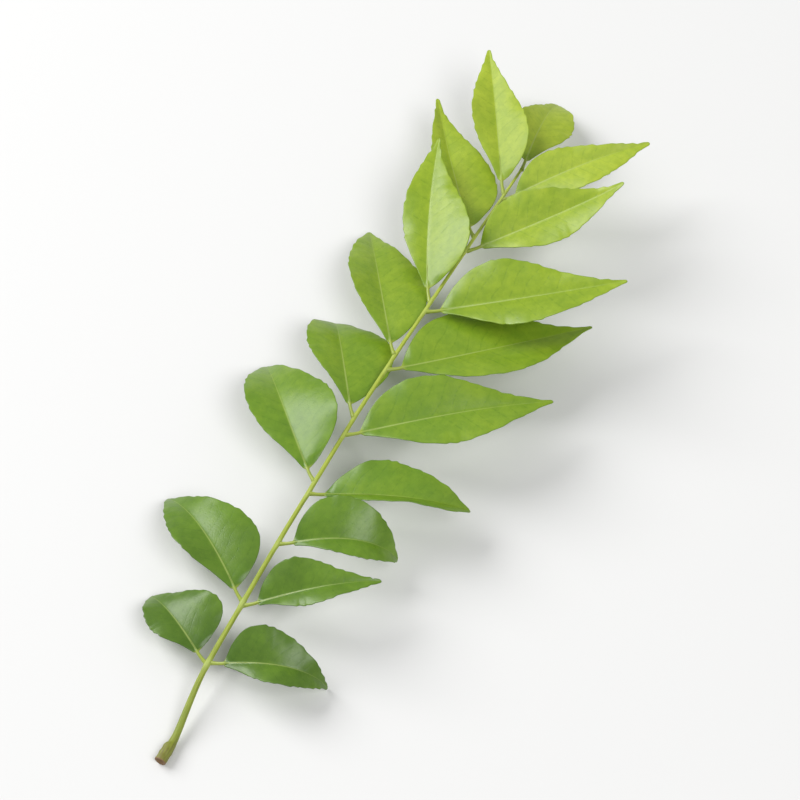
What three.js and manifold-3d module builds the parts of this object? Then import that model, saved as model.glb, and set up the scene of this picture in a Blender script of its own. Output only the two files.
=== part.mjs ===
// A picked sprig of curry leaves, lying on a table with its upper side up: one rachis, with a row of leaflets
// along each side and one at its tip, all grown together. Millimetres, +Z up. The rachis runs along +Y from
// its picked end to its tip, the table is z = 0, and the origin is the point of the table under the middle
// of the sprig.

import Module from "manifold-3d";
import * as THREE from "three";
import { mergeVertices } from "three/addons/utils/BufferGeometryUtils.js";

// The rachis: x, y and z of its centreline and its radius. Its swollen foot lies on the table.
const FOOT_RADIUS = 1.5;
const RACHIS_SIDES = 10;
const FOOT_HEIGHT = FOOT_RADIUS * Math.cos(Math.PI / RACHIS_SIDES);
const RACHIS = [
  [0, 0, FOOT_HEIGHT, FOOT_RADIUS],
  [0, 4, FOOT_HEIGHT + 0.06, FOOT_RADIUS],
  [0, 8, FOOT_HEIGHT + 0.4, 0.95],
  [-1.7, 24, 5.5, 0.7],
  [-1.8, 43, 8.5, 0.63],
  [-1.9, 63, 10.8, 0.6],
  [-1.8, 80, 12.3, 0.57],
  [-1.8, 101, 13.6, 0.54],
  [-1.4, 123, 14.4, 0.51],
  [-0.9, 142, 14.7, 0.47],
  [-0.5, 164, 14.4, 0.42],
  [-0.1, 180, 13.9, 0.37],
  [0, 191, 13.4, 0.35],
];
const RINGS_PER_POINT = 4;

// The stalk of each leaflet. It leaves the rachis a few degrees further out than the leaflet's own spread.
const STALK = { length: 2.6, radius: 0.42, turn: 8 };
const ROOT_GAP = 0.65; // from the skin of the rachis to where the stalk's own shape starts
const ROOT_DEPTH = 0.6; // how far its root is sunk in the rachis, as a share of the radius

// The blade of each leaflet
const THICKNESS = 0.6;
const RIB_DEPTH = 0.35;
const TIP_HALF_WIDTH = 0.55;
const FAR_HALF = { rise: 0.92, fall: 1.9 }; // exponents of the outline, on the half towards the sprig's tip
const NEAR_HALF = { rise: 1.38, fall: 1.5 };
const BASE_WEDGE = 0.8; // how much wider the near half is beside the end of the stalk
const TEETH = 12; // along each margin
const TOOTH_DEPTH = 0.38;
const TOOTH_CREST = 0.7; // how far along each tooth its crest lies
const WAVE = { height: 0.6, turns: 1.6 };
const GOLDEN = 0.618; // spreads the waves' phases over the leaflets
const ACROSS = [-1, -0.5, 0, 0.5, 1];
const SPINE_STEPS = 120;
const SETTLE_STEPS = 26;
const BEND = 1.8; // how late along a blade it arches over

// A leaflet whose droop is TABLE arches over until it touches the table
const TABLE = null;

// Each leaflet: millimetres along the sprig where it grows, its length, the greatest width of its far and its
// near half, then in degrees its spread from the rachis, its rise, how far it droops, its roll, which lifts
// its far half, its sway towards the base, and the fold of both halves up from the midrib, and last how much
// blunter than the others it is
const RIGHT = [
  [27.6, 30, 9.5, 6, 70, 18, TABLE, 8, 1, 19, 0],
  [44.6, 32, 8.5, 5.5, 57, 23, 34, 2, 0, 22, 0],
  [63, 30.5, 11, 5.5, 62, 19, 95, 6, 6, 20, 0.22],
  [78.5, 38, 10, 5.8, 66, 8, 40, -20, -1, 26, 0.35],
  [97.5, 50, 11.3, 10, 52, 8, 17, 1, 0, 16, 0],
  [119.2, 51, 13.2, 11, 46, -2, 0, -10, -2, 10, 0],
  [139.2, 49, 11.2, 9.3, 58.5, 12, 0, 1, -2, 16, 0],
  [161.3, 41, 9.5, 8.8, 42.5, 14, -15, 6, 4, 18, 0],
  [180.3, 38, 7, 7.5, 41, 18, 18, 5, 4, 15, 0],
];
const LEFT = [
  [27.2, 25, 11.8, 6.8, 59, 8, TABLE, 0, 4, 10, 0],
  [45.4, 39.5, 12, 8, 52, 9, TABLE, -3, 14, 10, 0],
  [82.3, 44, 13.3, 9, 49, 3, TABLE, 2, -9, 15, 0.15],
  [103.2, 38, 13.2, 8.8, 37, -0.5, TABLE, -13, -2, 6, 0.3],
  [124.2, 47, 12, 8, 38, -7, TABLE, -9, -2, 11, 0.15],
  [142.8, 46, 12.2, 7, 31, 5, 4, 14, -11, 12, 0],
  [165.9, 45, 10.6, 5.5, 42, -9, -13, -14, -4, 15, 0],
  [182.5, 42, 8.9, 6.7, 32, 6, 10, 5, 2, 21, 0],
];
const TIP = [191, 33, 7.2, 8.5, -11, -6, TABLE, 12, 4, 10, 0];

const SHORTEST_EDGE = 0.02; // shorter edges where two shapes join are closed up
const LEAF = { color: "#7ba63f", roughness: 0.45, metalness: 0 };

const radians = THREE.MathUtils.degToRad;
const smooth = (x) => THREE.MathUtils.smoothstep(x, 0, 1);
const wasm = await Module();
wasm.setup();

const centreline = new THREE.CatmullRomCurve3(
  RACHIS.map(([x, y, z]) => new THREE.Vector3(x, y, z)),
  false,
  "catmullrom",
  0.5,
);

// The rachis at a share of its list of points: the middle, the direction and the radius there
function rachisAt(share) {
  const position = share * (RACHIS.length - 1);
  const before = Math.min(Math.floor(position), RACHIS.length - 2);
  const radius = THREE.MathUtils.lerp(RACHIS[before][3], RACHIS[before + 1][3], position - before);
  return { middle: centreline.getPoint(share), along: centreline.getTangent(share), radius };
}

// The rachis where it has run so many millimetres along +Y
function rachisWhere(y) {
  let low = 0;
  let high = 1;
  for (let i = 0; i < SETTLE_STEPS; i++) {
    const share = (low + high) / 2;
    if (centreline.getPoint(share).y < y) low = share;
    else high = share;
  }
  return rachisAt(high);
}

// A closed solid through rings of equally many points. The second half of each ring mirrors the first, and
// its faces are split the same way, so that a thin waved blade doesn't cross itself.
function loft(rings) {
  const count = rings[0].length;
  const positions = rings.flat().flatMap((p) => [p.x, p.y, p.z]);
  const index = [];
  for (let i = 0; i < rings.length - 1; i++) {
    for (let k = 0; k < count; k++) {
      const a = i * count + k;
      const b = i * count + ((k + 1) % count);
      const c = b + count;
      const d = a + count;
      if (k < count / 2) index.push(a, b, c, a, c, d);
      else index.push(a, b, d, b, c, d);
    }
  }
  const last = (rings.length - 1) * count;
  for (let k = 0; k < count / 2 - 1; k++) {
    const far = count - 1 - k;
    index.push(k, far, k + 1, k + 1, far, far - 1);
    index.push(last + k, last + k + 1, last + far, last + k + 1, last + far - 1, last + far);
  }
  return new THREE.BufferGeometry()
    .setAttribute("position", new THREE.Float32BufferAttribute(positions, 3))
    .setIndex(index);
}

// Rings round the rachis, with a flat side down, so that the foot lies on the table
function rachisRings() {
  const steps = (RACHIS.length - 1) * RINGS_PER_POINT;
  return Array.from({ length: steps + 1 }, (_, i) => {
    const { middle, along, radius } = rachisAt(i / steps);
    const right = new THREE.Vector3().crossVectors(along, new THREE.Vector3(0, 0, 1)).normalize();
    const up = new THREE.Vector3().crossVectors(right, along);
    return Array.from({ length: RACHIS_SIDES }, (_, k) => {
      const angle = ((k + 0.5) / RACHIS_SIDES) * 2 * Math.PI + Math.PI / 2;
      return middle
        .clone()
        .addScaledVector(right, -radius * Math.cos(angle))
        .addScaledVector(up, radius * Math.sin(angle));
    });
  });
}

// The half width of a blade, as a share of its greatest, at a share t of its length
function outline(t, { rise, fall }, bluntness) {
  const end = fall * (1 - bluntness);
  const widest = rise / (rise + end);
  return (t / widest) ** rise * (Math.max(0, 1 - t) / (1 - widest)) ** end;
}

// How far the margin stands out of its smooth outline at t: slowly out to each tooth's crest, then sharply in
function tooth(t) {
  const phase = (t * TEETH) % 1;
  const height = phase < TOOTH_CREST ? phase / TOOTH_CREST : (1 - phase) / (1 - TOOTH_CREST);
  return TOOTH_DEPTH * (height - 0.5) * smooth((t - 0.15) / 0.2) * smooth((1 - t) / 0.08);
}

function direction(yaw, pitch) {
  const level = Math.cos(pitch);
  return new THREE.Vector3(Math.sin(yaw) * level, Math.cos(yaw) * level, Math.sin(pitch));
}

// The line of a leaflet's midrib in equal steps from the root of its stalk: points, headings and directions
function spine(leaflet, droop) {
  const { middle, along, radius } = rachisWhere(leaflet.grows);
  const heading = Math.atan2(along.x, along.y);
  const step = (STALK.length + leaflet.length) / SPINE_STEPS;
  const turned = (distance) => {
    const t = Math.max(0, (distance - STALK.length) / leaflet.length);
    const first = leaflet.spread + (leaflet.terminal ? 0 : STALK.turn);
    const spread = THREE.MathUtils.lerp(first, leaflet.spread, smooth(distance / STALK.length));
    const yaw = heading + radians(spread + leaflet.sway * t) * leaflet.side;
    return { yaw, way: direction(yaw, radians(leaflet.rise - droop * t ** BEND)) };
  };
  const out = leaflet.terminal ? along : direction(heading + (leaflet.side * Math.PI) / 2, 0);
  const reach = leaflet.terminal ? ROOT_GAP : radius + ROOT_GAP;
  const point = middle.clone().addScaledVector(out, reach);
  return Array.from({ length: SPINE_STEPS + 1 }, (_, i) => {
    const here = { point: point.clone(), ...turned(i * step) };
    point.addScaledVector(turned((i + 0.5) * step).way, step);
    return here;
  });
}

// The ring of a leaflet at a distance along its spine: one face from margin to margin, then the other back
function leafletRing(leaflet, line, distance) {
  const place = (Math.max(0, distance) / (STALK.length + leaflet.length)) * SPINE_STEPS;
  const before = Math.min(Math.floor(place), SPINE_STEPS - 1);
  const middle = line[before].point.clone().lerp(line[before + 1].point, place - before);
  middle.addScaledVector(line[0].way, Math.min(0, distance));
  const { yaw, way } = line[Math.round(place)];
  const t = Math.max(0, (distance - STALK.length) / leaflet.length);

  // level points across the blade to its far half, and the roll turns it and the normal about the spine
  const { side, bluntness } = leaflet;
  const level = new THREE.Vector3(-Math.cos(yaw) * side, Math.sin(yaw) * side, 0);
  const normal = new THREE.Vector3().crossVectors(way, level).multiplyScalar(side);
  const roll = radians(leaflet.roll);
  const towards = level.clone().multiplyScalar(Math.cos(roll)).addScaledVector(normal, Math.sin(roll));
  const up = normal.multiplyScalar(Math.cos(roll)).addScaledVector(level, -Math.sin(roll));

  const blade = smooth(t / 0.08);
  const fold = radians(leaflet.fold) * blade;
  const ripple = Math.sin(2 * Math.PI * (WAVE.turns * t + leaflet.phase)) * Math.sin(Math.PI * t);
  const upper = [];
  const lower = [];
  for (const u of ACROSS) {
    const [width, shape, wedge] = u > 0 ? [leaflet.far, FAR_HALF, 0] : [leaflet.near, NEAR_HALF, BASE_WEDGE];
    const half = width * outline(t, shape, bluntness) + wedge * smooth(t / 0.02) * (1 - smooth(t / 0.2));
    const blunt = TIP_HALF_WIDTH * smooth((t - 0.6) / 0.3);
    const across = u * Math.max(STALK.radius, half + tooth(t) + blunt);
    const wave = WAVE.height * u * Math.abs(u) * ripple * blade;
    const point = middle
      .clone()
      .addScaledVector(towards, across * Math.cos(fold))
      .addScaledVector(up, Math.abs(across) * Math.sin(fold) + wave);
    const tilt = fold * Math.sign(u);
    const face = up.clone().multiplyScalar(Math.cos(tilt)).addScaledVector(towards, -Math.sin(tilt));
    const round = STALK.radius * Math.sqrt(1 - 0.85 * u * u);
    const depth = THREE.MathUtils.lerp(round, THICKNESS / 2, blade);
    const rib = u === 0 ? RIB_DEPTH * (1 - t) * blade : 0;
    upper.push(point.clone().addScaledVector(face, depth));
    lower.unshift(point.clone().addScaledVector(face, -depth - rib));
  }
  const ring = [...upper, ...lower];
  return side > 0 ? ring.reverse() : ring;
}

// All rings of a leaflet: from the root of its stalk, then at each notch and each crest of its teeth
function leafletRings(leaflet, droop) {
  const line = spine(leaflet, droop);
  const slant = leaflet.terminal ? 1 : Math.sin(radians(leaflet.spread + STALK.turn));
  const root = (ROOT_GAP + ROOT_DEPTH * rachisWhere(leaflet.grows).radius) / slant;
  const shares = [TOOTH_CREST / 2, TOOTH_CREST];
  for (let i = 1; i < TEETH; i++) shares.push(i, i + TOOTH_CREST);
  shares.push(TEETH);
  const along = shares.map((share) => STALK.length + (leaflet.length * share) / TEETH);
  const distances = [-root, STALK.length / 2, STALK.length, ...along];
  return distances.map((distance) => leafletRing(leaflet, line, distance));
}

// The rings of a leaflet that arches over just far enough to touch the table
function settledRings(leaflet) {
  let least = 0;
  let most = 170;
  for (let i = 0; i < SETTLE_STEPS; i++) {
    const droop = (least + most) / 2;
    const lowest = Math.min(...leafletRings(leaflet, droop).flat().map((p) => p.z));
    if (lowest > 0) least = droop;
    else most = droop;
  }
  return leafletRings(leaflet, least);
}

function leafletShape(side, sizes, number) {
  const [grows, length, far, near, spread, rise, droop, roll, sway, fold, bluntness] = sizes;
  const terminal = side === 0;
  const phase = (number * GOLDEN) % 1;
  const turns = { spread, rise, roll, sway, fold };
  const leaflet = { grows, length, far, near, bluntness, phase, terminal, side: side || 1, ...turns };
  return loft(droop === TABLE ? settledRings(leaflet) : leafletRings(leaflet, droop));
}

function solid(shape) {
  const merged = mergeVertices(shape);
  const vertProperties = merged.getAttribute("position").array;
  const triVerts = new Uint32Array(merged.index.array);
  return new wasm.Manifold(new wasm.Mesh({ numProp: 3, vertProperties, triVerts }));
}

// One closed shape of everything that has grown together
function joined(shapes) {
  const whole = shapes.map(solid).reduce((first, next) => first.add(next));
  const { vertProperties, triVerts } = whole.simplify(SHORTEST_EDGE).getMesh();
  return new THREE.BufferGeometry()
    .setAttribute("position", new THREE.BufferAttribute(vertProperties, 3))
    .setIndex(new THREE.BufferAttribute(triVerts, 1));
}

const rightRow = RIGHT.map((sizes, i) => leafletShape(1, sizes, i));
const leftRow = LEFT.map((sizes, i) => leafletShape(-1, sizes, i + RIGHT.length));
const tip = leafletShape(0, TIP, RIGHT.length + LEFT.length);
const shape = joined([loft(rachisRings()), ...rightRow, ...leftRow, tip]);
shape.computeVertexNormals();

const leafyStem = new THREE.Mesh(shape, new THREE.MeshStandardMaterial(LEAF));
leafyStem.name = "sprig";
const sprig = new THREE.Group();
sprig.add(leafyStem);

const middle = new THREE.Box3().setFromObject(sprig).getCenter(new THREE.Vector3());
sprig.position.set(-middle.x, -middle.y, 0);

export default sprig;
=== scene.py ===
"""A picked sprig of curry leaves on a pale table: a rachis, a row of leaflets along each side of it and
one at its tip. It is built in millimetres, measured from the picked end of the rachis, and moved to the
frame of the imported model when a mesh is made. The rachis runs along +Y and the sprig lies on z = 0.
"""

import math
from types import SimpleNamespace

import bpy
import numpy as np
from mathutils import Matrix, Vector


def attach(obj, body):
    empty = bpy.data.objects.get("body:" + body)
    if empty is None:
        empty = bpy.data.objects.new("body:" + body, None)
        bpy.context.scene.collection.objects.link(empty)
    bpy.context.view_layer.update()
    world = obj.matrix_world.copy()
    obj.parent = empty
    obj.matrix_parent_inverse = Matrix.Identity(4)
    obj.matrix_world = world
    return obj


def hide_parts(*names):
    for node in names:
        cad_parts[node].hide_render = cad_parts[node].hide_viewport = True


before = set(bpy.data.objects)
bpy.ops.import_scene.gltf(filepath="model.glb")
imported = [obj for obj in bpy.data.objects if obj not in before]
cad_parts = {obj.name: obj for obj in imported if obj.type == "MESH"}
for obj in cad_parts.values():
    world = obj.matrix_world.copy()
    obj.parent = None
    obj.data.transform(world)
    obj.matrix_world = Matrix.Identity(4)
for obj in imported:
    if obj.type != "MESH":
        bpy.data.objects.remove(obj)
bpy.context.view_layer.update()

MM = 0.001

# Where the middle of the sprig lies from the picked end of the rachis
MIDDLE = np.array([3.623, 111.659, 0.0])

# The rachis: x, y and z of its centreline and its radius. Its swollen foot lies on z = 0.
FOOT_RADIUS = 1.5
FOOT_HEIGHT = FOOT_RADIUS * math.cos(math.pi / 10)
RACHIS = np.array([
    [0, 0, FOOT_HEIGHT, FOOT_RADIUS],
    [0, 4, FOOT_HEIGHT + 0.06, FOOT_RADIUS],
    [0, 8, FOOT_HEIGHT + 0.4, 0.95],
    [-1.7, 24, 5.5, 0.7],
    [-1.8, 43, 8.5, 0.63],
    [-1.9, 63, 10.8, 0.6],
    [-1.8, 80, 12.3, 0.57],
    [-1.8, 101, 13.6, 0.54],
    [-1.4, 123, 14.4, 0.51],
    [-0.9, 142, 14.7, 0.47],
    [-0.5, 164, 14.4, 0.42],
    [-0.1, 180, 13.9, 0.37],
    [0, 191, 13.4, 0.35],
])
RACHIS_LENGTH = 191
RACHIS_SIDES = 28
RACHIS_RINGS = 460
RACHIS_LOOKUPS = 4001

# The relief of the rachis: a swelling, or node, at each leaflet beside it, a groove along its upper side,
# low ridges round it, and wrinkles round its foot
NODE_SWELLING = 0.12
NODE_REACH = 1.5
NODE_LEAD = 0.6  # how far before its leaflet a node is widest
GROOVE_DEPTH = 0.16  # a share of the radius
GROOVE_SPREAD = 0.42  # radians
RIDGES = 5
RIDGE_DEPTH = 0.03  # a share of the radius
WRINKLE_DEPTH = 0.05

# The scar at the picked end: the share of the radius of each ring and how deep it lies, and its torn edge
SCAR_RINGS = [(0.0, 0.5), (0.35, 0.42), (0.6, 0.2), (0.82, 0.02), (0.95, -0.04)]
TEAR_HEIGHT = 0.06

# The stalk of each leaflet. It leaves the rachis a few degrees further out than the leaflet's own spread.
STALK_LENGTH = 2.6
STALK_RADIUS = 0.42
STALK_TURN = 8
STALK_FLARE = 0.16
ROOT_GAP = 0.65
ROOT_DEPTH = 0.6  # the share of the rachis's radius that the stalk reaches into it

# The outline of each blade
TIP_HALF_WIDTH = 0.55
TIP_ROUNDING = 0.6
FAR_OUTLINE = (0.92, 1.9)
NEAR_OUTLINE = (1.38, 1.5)
BASE_WEDGE = 0.8  # how much wider the near half is beside the end of the stalk
TEETH = 12
TOOTH_DEPTH = 0.34
TOOTH_CREST = 0.7
NEAR_PHASE = 0.37  # sets the near half's teeth off from those of the far half
GOLDEN = 0.618

# The form of each blade
HALF_THICKNESS = 0.15
MARGIN_THICKNESS = 0.03
MARGIN_WIDTH = 0.25
WAVE_HEIGHT = 0.6
WAVE_TURNS = 1.6
FRILL = 0.12
FRILL_TURNS = 5.3
BULGE = 0.035  # a share of the half width
VALLEY = 0.3  # how softly the blade folds at its midrib
BEND = 1.8

# The veins
UPPER_RIB = 0.08
UPPER_RIB_WIDTH = 0.24
LOWER_RIB = 0.32
LOWER_RIB_WIDTH = 0.44
LATERALS = 12
LATERAL_SLANT = 0.62
LATERAL_CURVE = 0.008
LATERAL_WANDER = 0.11
LATERAL_STAGGER = 0.45  # sets the veins of the near half off from those of the far half
LATERAL_RIDGE = 0.03
LATERAL_WIDTH = 0.35
QUILTING = 0.007

# How finely a leaflet is divided along and across
SPINE_STEPS = 240
ROOT_ROWS = 5
STALK_ROWS = 10
BLADE_ROWS = 132
TIP_ROWS = 9
TIP_SHARE = 0.02
HALF_COLUMNS = 17
COLUMN_CROWDING = 1.35
MARGIN_COLUMNS = [0.45, 0.12, 0]  # shares of the margin's width in from the edge
SETTLE_STEPS = 22

# Each leaflet: millimetres along the sprig where it grows, its length, the greatest width of its far and its
# near half, then in degrees its spread from the rachis, its rise, how far it droops, its roll, which lifts
# its far half, its sway towards the base, and the fold of both halves up from the midrib, and last how much
# blunter than the others it is
GROUND = None  # the droop of a leaflet that arches over until it touches z = 0
RIGHT = [
    [27.6, 30, 9.5, 6, 70, 18, GROUND, 8, 1, 19, 0],
    [44.6, 32, 8.5, 5.5, 57, 23, 34, 2, 0, 22, 0],
    [63, 30.5, 11, 5.5, 62, 19, 95, 6, 6, 20, 0.22],
    [78.5, 38, 10, 5.8, 66, 8, 40, -20, -1, 26, 0.35],
    [97.5, 50, 11.3, 10, 52, 8, 17, 1, 0, 16, 0],
    [119.2, 51, 13.2, 11, 46, -2, 0, -10, -2, 10, 0],
    [139.2, 49, 11.2, 9.3, 58.5, 12, 0, 1, -2, 16, 0],
    [161.3, 41, 9.5, 8.8, 42.5, 14, -15, 6, 4, 18, 0],
    [180.3, 38, 7, 7.5, 41, 18, 18, 5, 4, 15, 0],
]
LEFT = [
    [27.2, 25, 11.8, 6.8, 59, 8, GROUND, 0, 4, 10, 0],
    [45.4, 39.5, 12, 8, 52, 9, GROUND, -3, 14, 10, 0],
    [82.3, 44, 13.3, 9, 49, 3, GROUND, 2, -9, 15, 0.15],
    [103.2, 38, 13.2, 8.8, 37, -0.5, GROUND, -13, -2, 6, 0.3],
    [124.2, 47, 12, 8, 38, -7, GROUND, -9, -2, 11, 0.15],
    [142.8, 46, 12.2, 7, 31, 5, 4, 14, -11, 12, 0],
    [165.9, 45, 10.6, 5.5, 42, -9, -13, -14, -4, 15, 0],
    [182.5, 42, 8.9, 6.7, 32, 6, 10, 5, 2, 21, 0],
]
TIP = [191, 33, 7.2, 8.5, -11, -6, GROUND, 12, 4, 10, 0]

# The camera looks down on the sprig. It was placed in millimetres from the picked end of the rachis.
AIM = np.array([4.2, 115.6, 8.0])
AZIMUTH = 28.3
ELEVATION = 58
CAMERA_DISTANCE = 1000
VIEW_WIDTH = 204.7
SENSOR = 36

# The table, in millimetres. It lies just under the sprig, so that no face of one lies in the other.
TABLE_REACH = 3000
TABLE_DROP = 0.2
WORLD_STRENGTH = 0.44

# Colours, linear. A ramp gives a place from 0 to 1 with each of them.
GREENS = [
    (0.10, (0.105, 0.208, 0.016)),
    (0.40, (0.185, 0.335, 0.022)),
    (0.60, (0.252, 0.395, 0.022)),
    (0.80, (0.345, 0.482, 0.026)),
    (1.00, (0.460, 0.575, 0.042)),
]
RACHIS_GREENS = [
    (0.0, (0.220, 0.270, 0.024)),
    (0.25, (0.330, 0.400, 0.034)),
    (1.0, (0.440, 0.520, 0.060)),
]
PALE_VEIN = (0.46, 0.56, 0.16)
UNDERSIDE = (0.30, 0.42, 0.17)
STALK_GREEN = (0.38, 0.47, 0.07)
GLAND_GLOW = (0.6, 0.75, 0.15)
FOOT_BROWN = (0.16, 0.12, 0.03)
SCAR = (0.20, 0.11, 0.04)
TABLE_GREYS = [(0.73, 0.73, 0.725), (0.68, 0.68, 0.68)]
WHITE = (1.0, 1.0, 1.0)

# Tints, by which a colour is multiplied
MOTTLE_TINT = (0.66, 0.76, 0.6)
# painted shade at the base of each blade, beside its stalk
BASE_SHADE_TINT = (0.55, 0.7, 0.5)
NET_TINT = (0.6, 0.7, 0.55)
# painted shade in the lateral veins sunk into the upper face, also used for the darker rim along the margin
FURROW_SHADE_TINT = (0.66, 0.76, 0.55)
GLOW_TINT = (1.25, 1.15, 0.45)
STREAK_TINT = (0.55, 0.62, 0.5)


def smooth(x):
    x = np.clip(x, 0, 1)
    return x * x * (3 - 2 * x)


def wave(turns):
    return np.sin(2 * math.pi * turns)


def unit(v):
    return v / np.linalg.norm(v, axis=-1, keepdims=True)


def direction(yaw, pitch):
    return np.stack([np.sin(yaw) * np.cos(pitch), np.cos(yaw) * np.cos(pitch), np.sin(pitch)], -1)


# The rachis

def rachis_at(share):
    """The middle, direction and radius of the rachis at shares of its list of points."""
    points = RACHIS[:, :3]
    ends = np.vstack([2 * points[0] - points[1], points, 2 * points[-1] - points[-2]])
    place = np.asarray(share) * (len(RACHIS) - 1)
    before = np.minimum(place.astype(int), len(RACHIS) - 2)
    w = (place - before)[:, None]
    p0, p1, p2, p3 = (ends[before + k] for k in range(4))
    out, into = (p2 - p0) / 2, (p3 - p1) / 2
    square = 3 * (p2 - p1) - 2 * out - into
    cube = 2 * (p1 - p2) + out + into
    middle = p1 + out * w + square * w**2 + cube * w**3
    along = unit(out + 2 * square * w + 3 * cube * w**2)
    radius = RACHIS[before, 3] + (RACHIS[before + 1, 3] - RACHIS[before, 3]) * w[:, 0]
    return middle, along, radius


def rachis_where(y):
    """The rachis where it has run so many millimetres along +Y."""
    shares = np.linspace(0, 1, RACHIS_LOOKUPS)
    runs = rachis_at(shares)[0][:, 1]
    middle, along, radius = rachis_at([float(np.interp(y, runs, shares))])
    return middle[0], along[0], radius[0]


def swelling(y, angle):
    """How far the rachis stands out where leaflets grow, at each y and each angle round it."""
    total = np.zeros(np.broadcast(y, angle).shape)
    for rows, side in ((RIGHT, 1), (LEFT, -1)):
        for row in rows:
            towards = 0.55 + 0.45 * side * np.cos(angle)
            total += NODE_SWELLING * towards * np.exp(-((y - row[0] + NODE_LEAD) / NODE_REACH) ** 2)
    return total


def rachis_grid():
    """Rings of points round the rachis, the middle and direction of each, and each point's y and angle."""
    middle, along, radius = rachis_at(np.linspace(0, 1, RACHIS_RINGS))
    right = unit(np.cross(along, [0, 0, 1]))
    up = np.cross(right, along)
    angle = np.linspace(0, 2 * math.pi, RACHIS_SIDES, endpoint=False)[None, :]
    y = middle[:, 1][:, None]
    from_top = np.angle(np.exp(1j * (angle - math.pi / 2)))
    top = np.exp(-(from_top / GROOVE_SPREAD) ** 2)
    size = radius[:, None] * (1 - GROOVE_DEPTH * top * smooth((y - 6) / 12))
    size = size + radius[:, None] * RIDGE_DEPTH * np.cos(RIDGES * angle) * smooth((y - 8) / 10)
    size = size + swelling(y, angle)
    wrinkles = WRINKLE_DEPTH * np.sin(2.9 * y + 1.5 * np.sin(3 * angle)) * (1 - smooth((y - 3) / 6))
    size = size + wrinkles
    points = (
        middle[:, None, :]
        + right[:, None, :] * (size * np.cos(angle))[..., None]
        + up[:, None, :] * (size * np.sin(angle))[..., None]
    )
    return points, middle, along, y * np.ones_like(angle), angle * np.ones_like(y)


def scar_grid(points, middle, along):
    """Rings that close the picked end, sunk into it like a torn scar."""
    rings = []
    for share, depth in SCAR_RINGS:
        ring = middle[0] + (points[0] - middle[0]) * share + along[0] * depth
        tears = along[0] * TEAR_HEIGHT * np.sin(np.arange(RACHIS_SIDES) * 2.4)[:, None]
        rings.append(ring + tears * share)
    return np.array(rings)


# The outline of a leaflet

def outline(t, shape, bluntness):
    """The half width of a blade as a share of its greatest, at shares of its length."""
    rise, fall = shape
    fall = fall * (1 - bluntness)
    widest = rise / (rise + fall)
    t = np.clip(t, 0, 1)
    return (t / widest) ** rise * ((1 - t) / (1 - widest)) ** fall


def tooth(t, phase):
    """How far a margin stands out of its smooth outline. The teeth vary a little in width and depth."""
    uneven = 0.22 * wave(2.3 * t + phase) + 0.13 * wave(5.1 * t + 2 * phase)
    part = (TEETH * t + uneven) % 1
    height = np.where(part < TOOTH_CREST, part / TOOTH_CREST, (1 - part) / (1 - TOOTH_CREST))
    depth = TOOTH_DEPTH * (0.85 + 0.35 * wave(3.7 * t + 3 * phase))
    return depth * (height - 0.5) * smooth((t - 0.15) / 0.2) * smooth((1 - t) / 0.08)


def stalk_radius(distance):
    return STALK_RADIUS + STALK_FLARE * np.exp(-((distance + 0.9) / 1.1) ** 2)


def half_widths(leaflet, t, distance, far):
    width, shape = (leaflet.far, FAR_OUTLINE) if far else (leaflet.near, NEAR_OUTLINE)
    phase = leaflet.phase + (0.0 if far else NEAR_PHASE)
    blunt = TIP_HALF_WIDTH * smooth((t - 0.6) / 0.3)
    wedge = 0 if far else BASE_WEDGE * smooth(t / 0.02) * (1 - smooth(t / 0.2))
    half = width * outline(t, shape, leaflet.bluntness) + tooth(t, phase) + blunt + wedge
    half = np.maximum(stalk_radius(distance), half)
    left = np.clip((1 - t) * leaflet.length / TIP_ROUNDING, 0, 1)
    return half * np.maximum(np.sqrt(1 - (1 - left) ** 2), 0.04)


def columns(half):
    """Places from the midrib out to one margin, closer together near both."""
    half = half[:, None]
    margin = MARGIN_WIDTH * np.minimum(1, half / 1.5)
    inner = (half - margin) * (np.arange(HALF_COLUMNS + 1) / HALF_COLUMNS) ** COLUMN_CROWDING
    return np.hstack([inner] + [half - share * margin for share in MARGIN_COLUMNS])


# The line that a leaflet follows

def leaflet_rows(leaflet):
    """How far along its spine each row of a leaflet lies. The first rows are inside the rachis."""
    depth = ROOT_GAP + ROOT_DEPTH * leaflet.radius
    if not leaflet.terminal:
        depth /= math.sin(math.radians(leaflet.spread + STALK_TURN))
    root = np.linspace(-depth, 0, ROOT_ROWS + 1)[:-1]
    stalk = np.linspace(0, STALK_LENGTH, STALK_ROWS + 1)[:-1]
    blade = np.linspace(0, 1 - TIP_SHARE, BLADE_ROWS)
    tip = 1 - TIP_SHARE * (1 - np.linspace(0, 1, TIP_ROWS + 1)[1:]) ** 2
    return np.concatenate([root, stalk, STALK_LENGTH + leaflet.length * np.concatenate([blade, tip])])


def headings(leaflet, distance):
    """The yaw and pitch of a leaflet's spine at distances from the root of its stalk."""
    t = np.clip((distance - STALK_LENGTH) / leaflet.length, 0, None)
    first = leaflet.spread + (0 if leaflet.terminal else STALK_TURN)
    spread = first + (leaflet.spread - first) * smooth(distance / STALK_LENGTH)
    yaw = leaflet.heading + np.radians(spread + leaflet.sway * t) * leaflet.side
    return yaw, np.radians(leaflet.rise - leaflet.droop * t**BEND)


def spine(leaflet, distance):
    """The points of a leaflet's midrib at distances from the root of its stalk."""
    total = STALK_LENGTH + leaflet.length
    step = total / SPINE_STEPS
    ways = direction(*headings(leaflet, (np.arange(SPINE_STEPS) + 0.5) * step))
    line = leaflet.root + np.vstack([np.zeros(3), np.cumsum(ways * step, 0)])
    stations = np.arange(SPINE_STEPS + 1) * step
    points = np.stack([np.interp(distance, stations, line[:, k]) for k in range(3)], -1)
    first = direction(*headings(leaflet, np.zeros(1)))[0]
    return points + first * np.minimum(distance, 0)[:, None]


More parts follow.
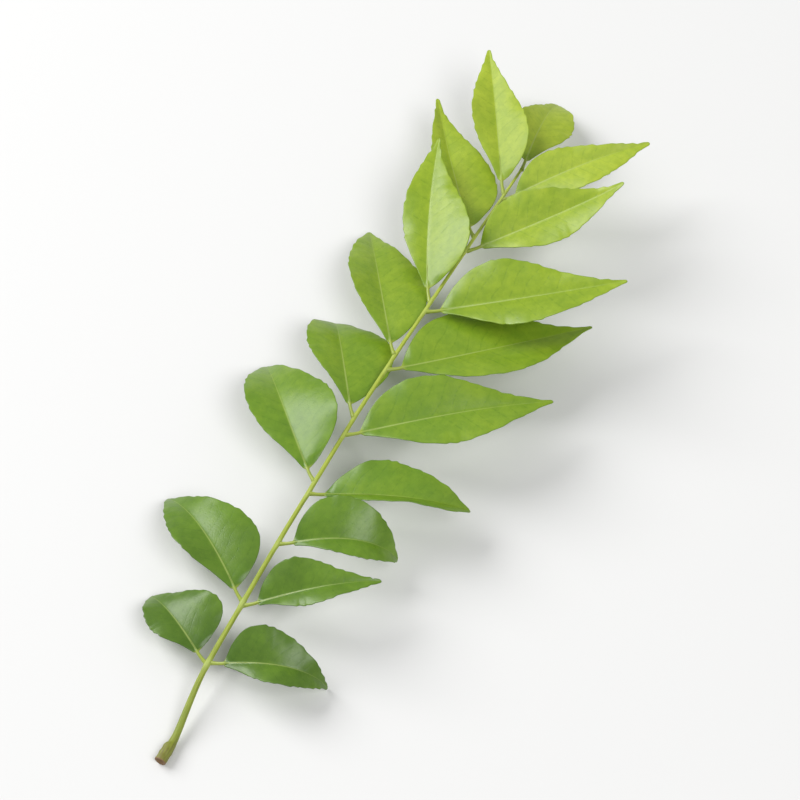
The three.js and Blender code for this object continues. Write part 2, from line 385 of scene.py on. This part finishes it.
def spine_sides(leaflet, distance):
    """The ways to the far side of a leaflet and up from its face, at distances along its spine."""
    yaw, pitch = headings(leaflet, distance)
    side = leaflet.side
    level = np.stack([-np.cos(yaw) * side, np.sin(yaw) * side, 0 * yaw], -1)
    normal = np.cross(direction(yaw, pitch), level) * side
    roll = math.radians(leaflet.roll)
    towards = level * math.cos(roll) + normal * math.sin(roll)
    return towards, normal * math.cos(roll) - level * math.sin(roll)


# The faces of a leaflet

def leaflet_grid(leaflet, distance):
    """Where each point of a leaflet lies along it, across it and among its veins."""
    t = np.clip((distance - STALK_LENGTH) / leaflet.length, 0, 1)
    far_half = half_widths(leaflet, t, distance, True)
    near_half = half_widths(leaflet, t, distance, False)
    grid = SimpleNamespace(t=t[:, None], along=t[:, None] * leaflet.length)
    grid.across = np.hstack([-columns(near_half)[:, :0:-1], columns(far_half)])
    grid.half = np.where(grid.across > 0, far_half[:, None], near_half[:, None])
    grid.edge = grid.half - np.abs(grid.across)
    grid.u = grid.across / grid.half
    grid.blade = smooth(grid.t / 0.08)
    grid.vein = vein_numbers(leaflet, grid)
    reach = np.abs(grid.u)
    grid.inside = smooth(reach * 4) * (1 - reach**4) * grid.blade * smooth((1 - grid.t) / 0.15)
    return grid


def vein_numbers(leaflet, grid):
    """A number that grows by one from each lateral vein to the next, on both sides of the midrib."""
    spacing = leaflet.length / LATERALS
    reach = np.abs(grid.across)
    bowed = grid.along - LATERAL_SLANT * reach - LATERAL_CURVE * reach**2
    wander = LATERAL_WANDER * np.sin(0.55 * grid.along + 9 * leaflet.phase + 0.35 * grid.across)
    return bowed / spacing + wander + np.where(grid.across < 0, LATERAL_STAGGER, 0) + leaflet.phase


def blade_lift(leaflet, grid, fold):
    """How far the fold at the midrib, a slow wave, a bulge, a frill and quilting lift each point."""
    reach = np.abs(grid.u)
    ripple = wave(WAVE_TURNS * grid.t + leaflet.phase) * np.sin(math.pi * grid.t)
    frill = np.sin(2 * math.pi * (FRILL_TURNS * grid.t + 3 * leaflet.phase) + 1.7 * np.sign(grid.u))
    lift = (np.sqrt(grid.across**2 + VALLEY**2) - VALLEY) * np.sin(fold)
    lift = lift + WAVE_HEIGHT * grid.u * reach * ripple * grid.blade
    lift = lift + BULGE * grid.half * np.sin(math.pi * reach) * grid.blade
    lift = lift + FRILL * reach**3 * frill * grid.blade * smooth(grid.t / 0.2)
    return lift - QUILTING * np.cos(2 * math.pi * grid.vein) * grid.inside


def face_depths(leaflet, grid, distance):
    """How far the upper and the lower face stand off the middle of the blade, or of the round stalk."""
    spacing = leaflet.length / LATERALS
    core = np.sqrt(np.maximum(stalk_radius(distance)[:, None] ** 2 - grid.across**2, 0)) * (1 - grid.blade)
    slope = np.sqrt(1 - np.clip(1 - grid.edge / (0.8 * MARGIN_WIDTH), 0, 1) ** 2)
    thin = MARGIN_THICKNESS + (HALF_THICKNESS - MARGIN_THICKNESS) * slope
    upper_rib = UPPER_RIB * (1 - 0.8 * grid.t) * np.exp(-((grid.across / UPPER_RIB_WIDTH) ** 2))
    rib_width = LOWER_RIB_WIDTH - 0.24 * grid.t
    lower_rib = LOWER_RIB * (1 - 0.85 * grid.t) * np.exp(-((grid.across / rib_width) ** 2))
    from_vein = np.abs((grid.vein + 0.5) % 1 - 0.5) * spacing
    ridges = LATERAL_RIDGE * np.exp(-((from_vein / LATERAL_WIDTH) ** 2)) * grid.inside
    above = np.hypot(core, thin + upper_rib * grid.blade)
    below = np.hypot(core, thin + (lower_rib + ridges) * grid.blade)
    return above, below


def shape_leaflet(leaflet):
    """The two faces of a leaflet as grids of points, and the values that its material uses at each point."""
    distance = leaflet_rows(leaflet)
    middle = spine(leaflet, distance)
    towards, up = spine_sides(leaflet, distance)
    grid = leaflet_grid(leaflet, distance)
    fold = math.radians(leaflet.fold) * grid.blade
    flat = grid.across * np.cos(fold)
    lift = blade_lift(leaflet, grid, fold)
    sheet = middle[:, None, :] + towards[:, None, :] * flat[..., None] + up[:, None, :] * lift[..., None]
    face = np.cross(np.gradient(sheet, axis=0), np.gradient(sheet, axis=1))
    face = unit(face * np.sign((face * up[:, None, :]).sum(-1, keepdims=True)))
    above, below = face_depths(leaflet, grid, distance)
    values = {
        "along_mm": grid.along,
        "across_mm": grid.across,
        "edge_mm": grid.edge,
        "share": grid.t,
        "vein": grid.vein,
        "youth": leaflet.youth,
        "stalk": 1 - smooth(grid.t / 0.03),
        "seed": leaflet.number * 7.0,
    }
    ones = np.ones_like(grid.across)
    values = {key: value * ones for key, value in values.items()}
    return sheet + face * above[..., None], sheet - face * below[..., None], values


def settle(leaflet):
    """Arches a leaflet over just far enough to touch z = 0."""
    least, most = 0.0, 170.0
    for _ in range(SETTLE_STEPS):
        leaflet.droop = (least + most) / 2
        upper, lower, _values = shape_leaflet(leaflet)
        if min(upper[..., 2].min(), lower[..., 2].min()) > 0:
            least = leaflet.droop
        else:
            most = leaflet.droop
    leaflet.droop = least


def plan_leaflet(side, sizes, number):
    """A leaflet's sizes by name, with where on the rachis it starts and how it heads off."""
    keys = "grows length far near spread rise droop roll sway fold bluntness".split()
    leaflet = SimpleNamespace(**dict(zip(keys, sizes)))
    leaflet.terminal = side == 0
    leaflet.side = side or 1
    leaflet.number = number
    leaflet.phase = (number * GOLDEN) % 1
    leaflet.youth = leaflet.grows / RACHIS_LENGTH
    middle, along, leaflet.radius = rachis_where(leaflet.grows)
    leaflet.heading = math.atan2(along[0], along[1])
    if leaflet.terminal:
        leaflet.root = middle + along * ROOT_GAP
    else:
        out = direction(np.array(leaflet.heading + leaflet.side * math.pi / 2), np.array(0.0))
        leaflet.root = middle + out * (leaflet.radius + ROOT_GAP)
    if leaflet.droop is GROUND:
        settle(leaflet)
    return leaflet


def make_leaflet(name, leaflet):
    upper, lower, values = shape_leaflet(leaflet)
    rings = np.concatenate([upper, lower[:, ::-1]], 1)
    rows, count = upper.shape[:2]
    doubled = {key: np.concatenate([grid, grid[:, ::-1]], 1) for key, grid in values.items()}
    piece = make_tube(name, rings, doubled, strip_caps=True)
    piece.data.materials.append(LEAF_UPPER)
    piece.data.materials.append(LEAF_LOWER)
    slots = np.zeros(len(piece.data.polygons), np.int32)
    ring = np.arange(2 * count)
    slots[: (rows - 1) * 2 * count] = np.tile((ring >= count) & (ring < 2 * count - 1), rows - 1)
    piece.data.polygons.foreach_set("material_index", slots)
    return piece


# Meshes

def add_object(name, data):
    made = bpy.data.objects.new(name, data)
    bpy.context.scene.collection.objects.link(made)
    return made


def strip(start, count):
    """Faces that close a ring of points whose second half runs back below its first half."""
    last = start + count - 1
    return [(start + k, start + k + 1, last - 1 - k, last - k) for k in range(count // 2 - 1)]


def fan(start, count, centre):
    """Faces that close a ring of points round one point in its middle."""
    return [(start + k, start + (k + 1) % count, centre) for k in range(count)]


def wall(rows, count):
    """Four-sided faces between rings of points."""
    start = (np.arange(rows - 1) * count)[:, None]
    ring = np.arange(count)[None, :]
    after = (ring + 1) % count
    quads = np.stack([start + ring, start + after, start + count + after, start + count + ring], -1)
    return quads.reshape(-1, 4)


def inside_out(points, quads):
    """Whether faces wound as these are would look into the shape."""
    corners = points[quads]
    cross = np.cross(corners[:, 1] - corners[:, 0], corners[:, 2] - corners[:, 0])
    cross = cross + np.cross(corners[:, 2] - corners[:, 0], corners[:, 3] - corners[:, 0])
    return (cross * (corners[:, 0] - points.mean(0))).sum() < 0


def make_tube(name, rings, values, strip_caps):
    """A closed mesh through rings of points, with one value of each name at every point."""
    rows, count = rings.shape[:2]
    points = rings.reshape(-1, 3)
    quads = wall(rows, count)
    last = (rows - 1) * count
    if strip_caps:
        first_cap, last_cap = strip(0, count), strip(last, count)
    else:
        first_cap, last_cap = fan(0, count, len(points)), fan(last, count, len(points) + 1)
        points = np.vstack([points, rings[0].mean(0), rings[-1].mean(0)])
        values = {key: np.append(grid, [grid[0, 0], grid[-1, -1]]) for key, grid in values.items()}
    caps = [tuple(reversed(face)) for face in first_cap] + last_cap
    faces = [tuple(face) for face in quads.tolist()] + caps
    if inside_out(points, quads):
        faces = [tuple(reversed(face)) for face in faces]
    mesh = bpy.data.meshes.new(name)
    mesh.from_pydata(((points - MIDDLE) * MM).tolist(), [], faces)
    mesh.shade_smooth()
    for key, grid in values.items():
        flat = grid.reshape(-1).astype(np.float32)
        mesh.attributes.new(key, "FLOAT", "POINT").data.foreach_set("value", flat)
    unwrap(mesh, rows, count)
    return add_object(name, mesh)


def unwrap(mesh, rows, count):
    """A UV map with the rings side by side along v."""
    place = np.zeros((len(mesh.vertices), 2))
    grid = np.stack(np.meshgrid(np.arange(count) / count, np.arange(rows) / (rows - 1)), -1)
    place[: rows * count] = grid.reshape(-1, 2)
    corner = np.zeros(len(mesh.loops), np.int32)
    mesh.loops.foreach_get("vertex_index", corner)
    uv = place[corner]
    wraps = np.zeros(len(mesh.loops), bool)
    for face in mesh.polygons:
        span = range(face.loop_start, face.loop_start + face.loop_total)
        if max(uv[i, 0] for i in span) - min(uv[i, 0] for i in span) > 0.5:
            for i in span:
                wraps[i] = uv[i, 0] < 0.25
    uv[wraps, 0] += 1
    mesh.uv_layers.new(name="UVMap").data.foreach_set("uv", uv.astype(np.float32).reshape(-1))


# Materials

class Shader:
    """The nodes of one material, made by short calls that return sockets."""

    def __init__(self, name):
        self.material = bpy.data.materials.new(name)
        self.material.use_nodes = True
        self.tree = self.material.node_tree
        self.tree.nodes.clear()

    def node(self, kind, inputs=None, **settings):
        made = self.tree.nodes.new(kind)
        for key, value in settings.items():
            setattr(made, key, value)
        for key, value in (inputs or {}).items():
            self.feed(made.inputs[key], value)
        return made

    def feed(self, socket, value):
        if isinstance(value, bpy.types.NodeSocket):
            self.tree.links.new(value, socket)
        elif socket.type == "RGBA":
            socket.default_value = (*value[:3], 1)
        else:
            socket.default_value = value

    def value(self, name):
        return self.node("ShaderNodeAttribute", attribute_name=name).outputs["Fac"]

    def maths(self, operation, *values):
        return self.node("ShaderNodeMath", dict(enumerate(values)), operation=operation).outputs[0]

    def plus(self, first, second):
        return self.maths("ADD", first, second)

    def minus(self, first, second):
        return self.maths("SUBTRACT", first, second)

    def times(self, first, second):
        return self.maths("MULTIPLY", first, second)

    def step(self, value, start, end, low=0.0, high=1.0):
        inputs = {"Value": value, "From Min": start, "From Max": end, "To Min": low, "To Max": high}
        return self.node("ShaderNodeMapRange", inputs, interpolation_type="SMOOTHSTEP").outputs[0]

    def mix(self, share, first, second, how="MIX"):
        inputs = {0: share, 6: first, 7: second}
        return self.node("ShaderNodeMix", inputs, data_type="RGBA", blend_type=how).outputs[2]

    def tint(self, colour, tint):
        return self.mix(1.0, colour, tint, "MULTIPLY")

    def place(self, x, y, z):
        return self.node("ShaderNodeCombineXYZ", {0: x, 1: y, 2: z}).outputs[0]

    def noise(self, where, scale, detail=2.0, output="Fac"):
        inputs = {"Vector": where, "Scale": scale, "Detail": detail}
        return self.node("ShaderNodeTexNoise", inputs).outputs[output]

    def cells(self, where, scale, feature):
        inputs = {"Vector": where, "Scale": scale}
        return self.node("ShaderNodeTexVoronoi", inputs, feature=feature).outputs["Distance"]

    def ramp(self, share, stops):
        made = self.node("ShaderNodeValToRGB", {"Fac": share})
        elements = made.color_ramp.elements
        while len(elements) < len(stops):
            elements.new(0.5)
        for element, (place, colour) in zip(elements, stops):
            element.position = place
            element.color = (*colour, 1)
        return made.outputs["Color"]

    def bump(self, height, strength, depth_mm):
        inputs = {"Height": height, "Strength": strength, "Distance": depth_mm * MM}
        return self.node("ShaderNodeBump", inputs).outputs["Normal"]

    def skin(self, colour, rough, gloss, normal):
        inputs = {"Base Color": colour, "Roughness": rough, "Specular IOR Level": gloss, "Normal": normal}
        return self.node("ShaderNodeBsdfPrincipled", inputs).outputs[0]

    def finish(self, surface):
        self.node("ShaderNodeOutputMaterial", {"Surface": surface})
        return self.material


def leaf_green(s, where, blade):
    """Patches of older and younger green, mottled, and darkened towards the stalk by painted shade."""
    patches = s.times(s.minus(s.noise(where, 0.12), 0.5), 0.4)
    tipward = s.times(s.minus(s.value("share"), 0.45), 0.1)
    green = s.ramp(s.plus(s.plus(s.value("youth"), patches), tipward), GREENS)
    mottle = s.times(s.step(s.noise(where, 0.55, 3.0), 0.32, 0.66), 0.42)
    green = s.mix(mottle, green, s.tint(green, MOTTLE_TINT))
    # painted shade: each blade is darker over its first 7 mm from the stalk
    base_shade = s.times(s.step(s.value("along_mm"), 0.0, 7.0, 0.55, 0.0), blade)
    return s.mix(base_shade, green, s.tint(green, BASE_SHADE_TINT))


def midrib_share(s):
    """How strongly the midrib shows. It narrows and fades towards the tip."""
    share = s.value("share")
    reach = s.maths("ABSOLUTE", s.value("across_mm"))
    width = s.step(share, 0.0, 1.0, 0.34, 0.12)
    midrib = s.step(s.maths("DIVIDE", reach, width), 0.45, 1.0, 1.0, 0.0)
    return s.times(midrib, s.step(share, 0.1, 1.0, 0.56, 0.24))


def lateral_share(s, where, fade, strength):
    """How strongly the lateral veins show, with weaker stretches along them."""
    offset = s.maths("PINGPONG", s.value("vein"), 0.5)
    lateral = s.times(s.step(offset, 0.02, 0.085, 1.0, 0.0), fade)
    broken = s.step(s.noise(where, 1.1), 0.4, 0.6, 0.25, 1.0)
    return s.times(s.times(lateral, broken), strength)


def net_share(s, where, fade):
    """How strongly the net of fine veins between the laterals shows."""
    shifted = s.noise(where, 0.8, output="Color")
    bent = s.mix(0.35, where, shifted, "ADD")
    return s.times(s.step(s.cells(bent, 0.75, "DISTANCE_TO_EDGE"), 0.0, 0.11, 1.0, 0.0), fade)


def leaf_material(name, underside):
    """One face of the leaflets: glossy above, pale and matt below. Some light shines through the blade."""
    s = Shader(name)
    where = s.place(s.value("along_mm"), s.value("across_mm"), s.value("seed"))
    edge, stalk = s.value("edge_mm"), s.value("stalk")
    blade = s.minus(1.0, stalk)
    fade = s.times(s.step(edge, 0.2, 2.2), blade)
    laterals = lateral_share(s, where, fade, 0.3 if underside else 0.42)
    net = net_share(s, where, fade)
    glands = s.times(s.step(s.cells(where, 1.5, "F1"), 0.1, 0.2, 1.0, 0.0), fade)
    margin = s.times(s.step(edge, 0.05, 0.32, 1.0, 0.0), blade)

    green = leaf_green(s, where, blade)
    colour = s.mix(s.times(net, 0.1), green, s.tint(green, NET_TINT))
    if underside:
        colour = s.mix(0.5, colour, UNDERSIDE)
    # above, the lateral veins are darkened with painted shade, as if in their sunken furrows; below, they
    # are pale
    furrow_shade = s.tint(colour, FURROW_SHADE_TINT)
    colour = s.mix(laterals, colour, PALE_VEIN if underside else furrow_shade)
    # a darker rim along the margin, in the same tint as the painted furrow shade
    colour = s.mix(s.times(margin, 0.5), colour, furrow_shade)
    colour = s.mix(midrib_share(s), colour, PALE_VEIN)
    colour = s.mix(stalk, colour, STALK_GREEN)

    # veins stand out below and are sunk in above
    grain = s.noise(where, 3.0)
    veins = s.plus(s.times(laterals, 0.4), s.times(net, 0.12))
    height = s.plus(s.times(veins, 1.0 if underside else -1.0), s.times(grain, 0.25))
    normal = s.bump(height, 0.5, 0.12)
    dull = 0.56 if underside else s.step(s.value("youth"), 0.76, 0.94, 0.27, 0.42)
    surface = s.skin(colour, s.plus(dull, s.times(grain, 0.12)), 0.3 if underside else 0.6, normal)
    glow = s.mix(s.times(glands, 0.35), s.tint(colour, GLOW_TINT), GLAND_GLOW)
    through = s.node("ShaderNodeBsdfTranslucent", {"Color": glow, "Normal": normal}).outputs[0]
    return s.finish(s.node("ShaderNodeMixShader", {0: 0.24, 1: surface, 2: through}).outputs[0])


def rachis_material():
    """Streaked green, paler at the nodes and towards the tip, brown at the foot and in the scar."""
    s = Shader("rachis_skin")
    along, angle = s.value("along_mm"), s.value("angle")
    green = s.ramp(s.maths("DIVIDE", along, float(RACHIS_LENGTH)), RACHIS_GREENS)
    right = s.times(s.maths("COSINE", angle), 1.6)
    up = s.times(s.maths("SINE", angle), 1.6)
    streaks = s.noise(s.place(s.times(along, 0.12), right, up), 2.2, 4.0)
    colour = s.mix(s.step(streaks, 0.35, 0.75, 0.0, 0.7), green, s.tint(green, STREAK_TINT))
    colour = s.mix(s.times(s.value("node"), 0.45), colour, PALE_VEIN)
    foot = s.times(s.step(along, 2.0, 9.0, 1.0, 0.0), s.step(streaks, 0.3, 0.7, 0.2, 0.75))
    colour = s.mix(foot, colour, FOOT_BROWN)
    colour = s.mix(s.value("scar"), colour, SCAR)
    fine = s.noise(s.place(along, s.times(angle, 0.8), 0.0), 6.0)
    normal = s.bump(s.plus(streaks, s.times(fine, 0.4)), 0.6, 0.12)
    return s.finish(s.skin(colour, s.plus(0.42, s.times(fine, 0.18)), 0.45, normal))


def table_material():
    s = Shader("table_top")
    grain = s.noise(s.node("ShaderNodeTexCoord").outputs["Object"], 400.0, 3.0)
    colour = s.mix(s.times(grain, 0.04), *TABLE_GREYS)
    matt = {"Base Color": colour, "Roughness": 0.9, "Specular IOR Level": 0.1}
    return s.finish(s.node("ShaderNodeBsdfPrincipled", matt).outputs[0])


# The pieces

def make_rachis():
    points, middle, along, y, angle = rachis_grid()
    scar = scar_grid(points, middle, along)
    rings = np.concatenate([scar, points])
    rings[..., 2] = np.maximum(rings[..., 2], 0)
    closed = np.zeros(scar.shape[:2])
    node = np.clip(swelling(y, angle) / NODE_SWELLING, 0, 1)
    values = {
        "along_mm": np.concatenate([closed, y]),
        "angle": np.concatenate([closed + angle[0], angle]),
        "node": np.concatenate([closed, node]),
        "scar": np.concatenate([closed + 1, np.exp(-(y / 0.25) ** 2)]),
    }
    piece = make_tube("rachis_stem", rings, values, strip_caps=False)
    piece.data.materials.append(rachis_material())
    return piece


def add_part(piece):
    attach(piece, "root")
    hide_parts("sprig")


def build_sprig():
    add_part(make_rachis())
    number = 0
    for word, side, table in (("right", 1, RIGHT), ("left", -1, LEFT), ("terminal", 0, [TIP])):
        for i, sizes in enumerate(table):
            leaflet = plan_leaflet(side, sizes, number)
            place = word if leaflet.terminal else f"{word}_{i + 1}"
            add_part(make_leaflet(f"leaf_{place}", leaflet))
            number += 1


# The table, the light and the camera

def build_table():
    reach, z = TABLE_REACH * MM, -TABLE_DROP * MM
    corners = [(-reach, -reach, z), (reach, -reach, z), (reach, reach, z), (-reach, reach, z)]
    mesh = bpy.data.meshes.new("table")
    mesh.from_pydata(corners, [], [(0, 1, 2, 3)])
    mesh.materials.append(table_material())
    add_object("table", mesh)


def way_out(azimuth, elevation):
    """The direction from the sprig to what stands so many degrees round it and above the table."""
    a, e = math.radians(azimuth), math.radians(elevation)
    return Vector((math.sin(a) * math.cos(e), -math.cos(a) * math.cos(e), math.sin(e)))


def aim(thing, place, target):
    thing.location = place
    thing.rotation_euler = (target - place).to_track_quat("-Z", "Y").to_euler()


def add_light(name, azimuth, elevation, distance, size, power):
    light = bpy.data.lights.new(name, "AREA")
    light.shape = "DISK"
    light.size = size
    light.energy = power
    aim(add_object(name, light), way_out(azimuth, elevation) * distance, Vector((0, 0, 0)))


def build_light():
    add_light("side_panel", azimuth=268, elevation=40, distance=1.5, size=1.1, power=21)
    add_light("front_panel", azimuth=66, elevation=54, distance=1.6, size=0.9, power=11)
    world = bpy.data.worlds.new("studio")
    world.use_nodes = True
    backdrop = world.node_tree.nodes["Background"]
    backdrop.inputs["Color"].default_value = (*WHITE, 1)
    backdrop.inputs["Strength"].default_value = WORLD_STRENGTH
    bpy.context.scene.world = world


def build_camera():
    data = bpy.data.cameras.new("camera")
    data.sensor_width = SENSOR
    data.lens = SENSOR * CAMERA_DISTANCE / VIEW_WIDTH
    data.clip_end = 20
    camera = add_object("camera", data)
    target = Vector((AIM - MIDDLE) * MM)
    aim(camera, target + way_out(AZIMUTH, ELEVATION) * CAMERA_DISTANCE * MM, target)
    bpy.context.scene.camera = camera


LEAF_UPPER = leaf_material("leaf_upper_face", underside=False)
LEAF_LOWER = leaf_material("leaf_underside", underside=True)
build_sprig()
build_table()
build_light()
build_camera()
bpy.context.scene.view_settings.view_transform = "Standard"
